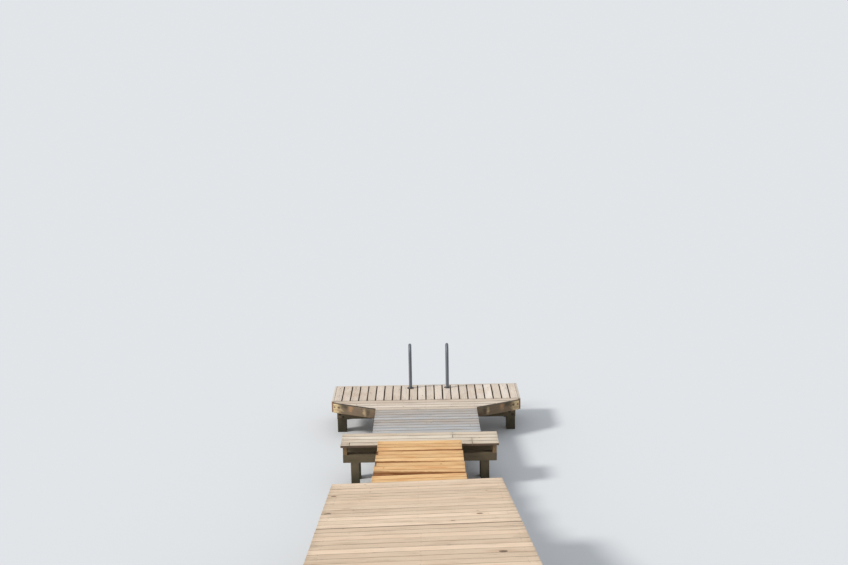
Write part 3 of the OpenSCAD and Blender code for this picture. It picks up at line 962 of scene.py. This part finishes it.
def bent_rail(node, foot):
    """One tube up from the deck, over in a half circle and down to the water."""
    low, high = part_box(node)
    radius = (high.x - low.x) / 2
    near, far = low.y + radius, high.y - radius
    bend = high.z - radius - (far - near) / 2
    place = Vector(((low.x + high.x) / 2, near, foot))
    bpy.ops.mesh.primitive_circle_add(vertices=28, radius=radius, location=place)
    rail = settled()
    open_mesh(rail)
    bpy.ops.mesh.select_all(action="SELECT")
    bpy.ops.mesh.extrude_edges_move(TRANSFORM_OT_translate={"value": (0, 0, bend - foot)})
    bpy.ops.mesh.spin(steps=26, angle=math.pi, center=(0, (near + far) / 2, bend), axis=(1, 0, 0))
    bpy.ops.mesh.extrude_edges_move(TRANSFORM_OT_translate={"value": (0, 0, low.z - bend)})
    bpy.ops.mesh.edge_face_add()
    pick("VERT", lambda v: abs(v.co.z - foot) < NEAR and v.co.y < (near + far) / 2)
    bpy.ops.mesh.edge_face_add()
    bpy.ops.mesh.select_all(action="SELECT")
    bpy.ops.mesh.remove_doubles(threshold=NEAR)
    bpy.ops.mesh.normals_make_consistent(inside=False)
    pick("EDGE", lambda e: sharp(e, 60) and all(v.co.z < low.z + 10 * NEAR for v in e.verts))
    bpy.ops.mesh.bevel(offset=RAIL_END_EASE, segments=3, affect="EDGES")
    close_mesh()
    smooth(rail, 35)
    rail.name = rail.data.name = node.replace("rail", "grab_rail")
    hand_over(rail, satin, node)
    return place, radius


def flange(foot, low, high):
    """A round plate with an eased rim, on the deck."""
    bpy.ops.mesh.primitive_cylinder_add(vertices=48, radius=(high.y - low.y) / 2, depth=high.z - low.z,
                                        location=(foot.x, foot.y, (low.z + high.z) / 2))
    plate = settled()
    open_mesh(plate)
    pick("EDGE", lambda e: sharp(e, 60) and all(v.co.z > high.z - NEAR for v in e.verts))
    bpy.ops.mesh.bevel(offset=FLANGE_EASE, segments=3, affect="EDGES")
    close_mesh()
    return plate


def weld(foot, radius, height):
    """The bead where a rail meets its flange."""
    bpy.ops.mesh.primitive_torus_add(location=(foot.x, foot.y, height), major_radius=radius + WELD_OUT,
                                     minor_radius=WELD_R, major_segments=36, minor_segments=8)
    return settled()


def pan_screw(foot, angle, height):
    """A screw with a low round head, on a flange."""
    bpy.ops.mesh.primitive_uv_sphere_add(segments=16, ring_count=8, radius=PAN_R, location=(
        foot.x + FLANGE_SCREW_RING * math.cos(angle), foot.y + FLANGE_SCREW_RING * math.sin(angle), height))
    head = settled()
    open_mesh(head)
    bpy.ops.mesh.select_all(action="SELECT")
    bpy.ops.transform.resize(value=(1, 1, 0.5), center_override=(foot.x, foot.y, height))
    close_mesh()
    return head


def foot_flanges(feet):
    """A round plate under each rail, with its weld and four screws."""
    low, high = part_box("ladder_flanges")
    plates, screws = [], []
    for foot, radius in feet:
        plates += [flange(foot, low, high), weld(foot, radius, high.z)]
        screws += [pan_screw(foot, math.radians(angle), high.z) for angle in (45, 135, 225, 315)]
    for piece in plates + screws:
        smooth(piece, 35)
    hand_over(join(plates, "foot_flanges"), dark_plates, "ladder_flanges")
    hand_over(join(screws, "flange_screws"), zinc)


def ribbed_tread(low, high):
    """A pressed tread with rounded edges and grooves along its top."""
    size = high - low
    bpy.ops.mesh.primitive_cube_add(size=1, scale=size, location=(low + high) / 2)
    tread = settled()
    open_mesh(tread)
    pick("EDGE", lambda e: runs_along(e, ACROSS))
    bpy.ops.mesh.bevel(offset=TREAD_EASE, segments=4, affect="EDGES")
    pick("EDGE", lambda e: runs_along(e, ALONG) and (e.verts[0].co - e.verts[1].co).length > size.y / 2)
    bpy.ops.mesh.subdivide(number_cuts=TREAD_STRIPS - 1)
    strip = (size.y - 2 * TREAD_EASE) / TREAD_STRIPS
    pick("FACE", lambda f: f.normal.z > 0.99 and round(
        (f.calc_center_median().y - low.y - TREAD_EASE) / strip - 0.5) % 2 == 1)
    bpy.ops.mesh.inset(thickness=GROOVE_WALL)
    bpy.ops.transform.translate(value=(0, 0, -GROOVE_DEPTH))
    close_mesh()
    smooth(tread, 30)
    return tread


def ladder_treads():
    plain = solids_of("ladder_treads")
    boxes = [box_of(solid) for solid in plain]
    throw_away(*plain)
    hand_over(join([ribbed_tread(*box) for box in boxes], "ribbed_treads"), satin, "ladder_treads")


def side_brackets():
    """The plates and arms that hold the long legs off the lake board, and where their bolts are."""
    plates = [eased(solid, BRACKET_ARRIS) for solid in solids_of("ladder_brackets")]
    face = box_of(plates[0])[0].y + BRACKET_FACE
    spots = []
    for plate in plates:
        centre = middle(plate)
        for side in (-BRACKET_BOLT_SPREAD, BRACKET_BOLT_SPREAD):
            for rise in (-BRACKET_BOLT_SPREAD, BRACKET_BOLT_SPREAD):
                spots.append(((centre.x + side, face, centre.z + rise), (0, 1, 0)))
    hand_over(join(plates, "side_brackets"), satin, "ladder_brackets")
    return spots


# Floor, light and camera

FLOOR = colour(219, 222, 225)
FLOOR_SIZE = 400
FLOOR_MIDDLE = (0, 60, 0)
SKY = (0.93, 0.96, 1.0, 1.0)
SKY_STRENGTH = 0.66
SUN = (1.0, 0.97, 0.92)
SUN_STRENGTH = 2.3
SUN_SPREAD = math.radians(12)
TO_SUN = Vector((-0.75, -0.24, 0.62)).normalized()

# Camera, at the place that the photo's vanishing lines and sizes give
CAMERA_PLACE = (0.0, -10.10, 5.345)
CAMERA_PITCH = math.radians(12.57)
CAMERA_ROLL = math.radians(1.0)
LENS_PIXELS = 1124
PHOTO_WIDTH = 848
SENSOR = 36.0


def lay_floor():
    bpy.ops.mesh.primitive_plane_add(size=FLOOR_SIZE, location=FLOOR_MIDDLE)
    floor = bpy.context.object
    floor.name = "floor"
    f = Finish("floor_finish")
    f.feed(f.shader, {"Base Color": FLOOR, "Roughness": 1.0, "Specular IOR Level": 0.0})
    floor.data.materials.append(f.material)


def light_sky():
    """An even sky. Past the floor, the camera and shiny pieces see the lit floor's own colour instead."""
    world = bpy.data.worlds.new("studio")
    bpy.context.scene.world = world
    world.use_nodes = True
    nodes, links = world.node_tree.nodes, world.node_tree.links
    sky = nodes["Background"]
    sky.inputs["Color"].default_value = SKY
    sky.inputs["Strength"].default_value = SKY_STRENGTH
    backdrop = nodes.new("ShaderNodeBackground")
    backdrop.inputs["Color"].default_value = [
        FLOOR[i] * (SKY[i] * SKY_STRENGTH + SUN[i] * SUN_STRENGTH * TO_SUN.z / math.pi)
        for i in range(3)] + [1.0]
    ray = nodes.new("ShaderNodeLightPath")
    shown = ray.outputs["Is Camera Ray"]
    for other in ("Is Glossy Ray", "Is Transmission Ray"):
        either = nodes.new("ShaderNodeMath")
        either.operation = "MAXIMUM"
        links.new(shown, either.inputs[0])
        links.new(ray.outputs[other], either.inputs[1])
        shown = either.outputs[0]
    mix = nodes.new("ShaderNodeMixShader")
    links.new(shown, mix.inputs[0])
    links.new(sky.outputs[0], mix.inputs[1])
    links.new(backdrop.outputs[0], mix.inputs[2])
    links.new(mix.outputs[0], nodes["World Output"].inputs["Surface"])


def light_sun():
    sun = bpy.data.lights.new("key", "SUN")
    sun.energy = SUN_STRENGTH
    sun.angle = SUN_SPREAD
    sun.color = SUN
    lamp = bpy.data.objects.new("key", sun)
    bpy.context.scene.collection.objects.link(lamp)
    lamp.rotation_euler = TO_SUN.to_track_quat("Z", "Y").to_euler()


def set_camera():
    lens = bpy.data.cameras.new("camera")
    lens.lens = LENS_PIXELS / PHOTO_WIDTH * SENSOR
    lens.sensor_width = SENSOR
    lens.clip_end = 1.5 * FLOOR_SIZE
    camera = bpy.data.objects.new("camera", lens)
    bpy.context.scene.collection.objects.link(camera)
    camera.location = CAMERA_PLACE
    camera.rotation_euler = (Matrix.Rotation(math.pi / 2 - CAMERA_PITCH, 3, "X")
                             @ Matrix.Rotation(-CAMERA_ROLL, 3, "Z")).to_euler()
    bpy.context.scene.camera = camera


# Places of bolts and screws, read while the construction's own solids are all there

ledger_spots = ledger_bolts()
closing_board_spots = closing_board_screws()
flange_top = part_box("ladder_flanges")[1].z

# Platform with its flared corners, ramp and landing

BEARERS = "platform_front_bearer", "platform_back_bearer"
ramp_supports = centres("ramp_stringers", ACROSS)
on_platform = platform_planks()

deck("platform_deck", "platform_planks", on_platform, [centre_line(node, ALONG) for node in BEARERS], ALONG,
     warm_left=0.25)
deck("corner_deck", "corner_planks", on_platform, ramp_supports + [-CORNER_EDGE, CORNER_EDGE], ACROSS,
     mitred=True)
deck("ramp_deck", "ramp_planks", ramp_planks(), ramp_supports, ACROSS)
deck("landing_deck", "landing_planks", landing_planks(), centres("landing_joists", ACROSS), ACROSS)

# Steps

STEPS = range(1, 5)
STEP_BEAMS = "carriage_left", "carriage_middle", "carriage_right"
# What the next step hides of a tread, and the width of the darker band in front of it at the left and right
BAND_BEFORE_STEP = {1: (0.182, 0.010, 0.045), 2: (0.176, 0.048, 0.004), 3: (0.171, 0.105, 0.050)}
NO_BAND_BEFORE_STEP = (0.0, -0.2, -0.2)
SHORT_STEPS = 2, 3
on_steps = step_treads()

for number in STEPS:
    hidden, left, right = BAND_BEFORE_STEP.get(number, NO_BAND_BEFORE_STEP)
    shore_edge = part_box(f"step_{number}")[0].y
    deck(f"tread_{number}", f"step_{number}", on_steps, [centre_line(node, ACROSS) for node in STEP_BEAMS],
         ACROSS, knots=STEP_KNOTS, short_left=STEP_NICK if number in SHORT_STEPS else 0,
         dark_band=(shore_edge + hidden, left, right))

# Boardwalk, with the largest knots where the photo shows them

BAYS = range(1, 4)
WALK_KNOTS = [((-0.912, 0.080, 0.968), 0.024), ((-0.903, -0.700, 1.135), 0.030),
              ((0.454, -0.907, 1.211), 0.024), ((0.213, -1.139, 1.255), 0.018),
              ((0.565, -2.238, 1.498), 0.030)]
on_walk = walk_planks()

for bay in BAYS:
    deck(f"walk_deck_{bay}", f"walk_planks_{bay}", on_walk, centres(f"walk_stringers_{bay}", ACROSS), ACROSS,
         knots=WALK_SMALL_KNOTS, seen=WALK_KNOTS, bay=True)

# Timber beside and below the decks

# The knots, stains and patches of painted sunlight that show on the left corner beam, each as its mirrored
# place and its radius
CORNER_KNOTS = [(1.240, 4.397, 0.404, 0.011), (1.181, 4.364, 0.408, 0.017)]
CORNER_STAINS_AND_SUNLIT_PATCHES = [("sunlit_cream_end", 1.230, 4.392, 0.405, 0.050), ("dark_stain", 1.105, 4.322, 0.440, 0.034),
                 ("ochre_stain", 1.022, 4.268, 0.412, 0.024), ("sunlit_cream_streak", 0.838, 4.148, 0.396, 0.022),
                 ("dark_streak", 0.792, 4.118, 0.410, 0.024)]
WALK_STRINGERS = tuple(f"walk_stringers_{bay}" for bay in BAYS)
TRESTLES = tuple(f"trestle_{part}_{number}" for part in ("beam", "posts") for number in range(1, 5))
on_corners, on_joists, on_posts = corner_beams(), joists(), posts()

squared_timber("platform_fascias", closing_boards(), narrower=NARROWER)
for node, side in (("corner_beam_left", -1), ("corner_beam_right", 1)):
    squared_timber(node, on_corners,
                   seen=[((side * x, y, z), radius) for x, y, z, radius in CORNER_KNOTS],
                   stains=[(name, (side * x, y, z), radius) for name, x, y, z, radius in CORNER_STAINS_AND_SUNLIT_PATCHES])
for node in ("corner_battens", "ramp_stringers", "landing_joists") + WALK_STRINGERS + STEP_BEAMS:
    squared_timber(node, on_joists)
for node in BEARERS + ("platform_piles", "platform_waler", "ramp_ledger", "landing_beams", "landing_posts",
                       "step_ledgers") + TRESTLES:
    squared_timber(node, on_posts)

# Ladder, and the fasteners that show on timber

foot_flanges([bent_rail(node, flange_top) for node in ("ladder_rail_left", "ladder_rail_right")])
ladder_treads()
bracket_bolts = side_brackets()
fasten("ledger_bolts", bolt, shaded_rusty_bolts, ledger_spots)
fasten("bracket_bolts", bolt, shaded_rusty_bolts, bracket_bolts)
fasten("closing_board_screws", screw, zinc, closing_board_spots)
throw_away(screw, bolt)

# Studio

lay_floor()
light_sky()
light_sun()
set_camera()
bpy.context.scene.view_settings.view_transform = "Standard"
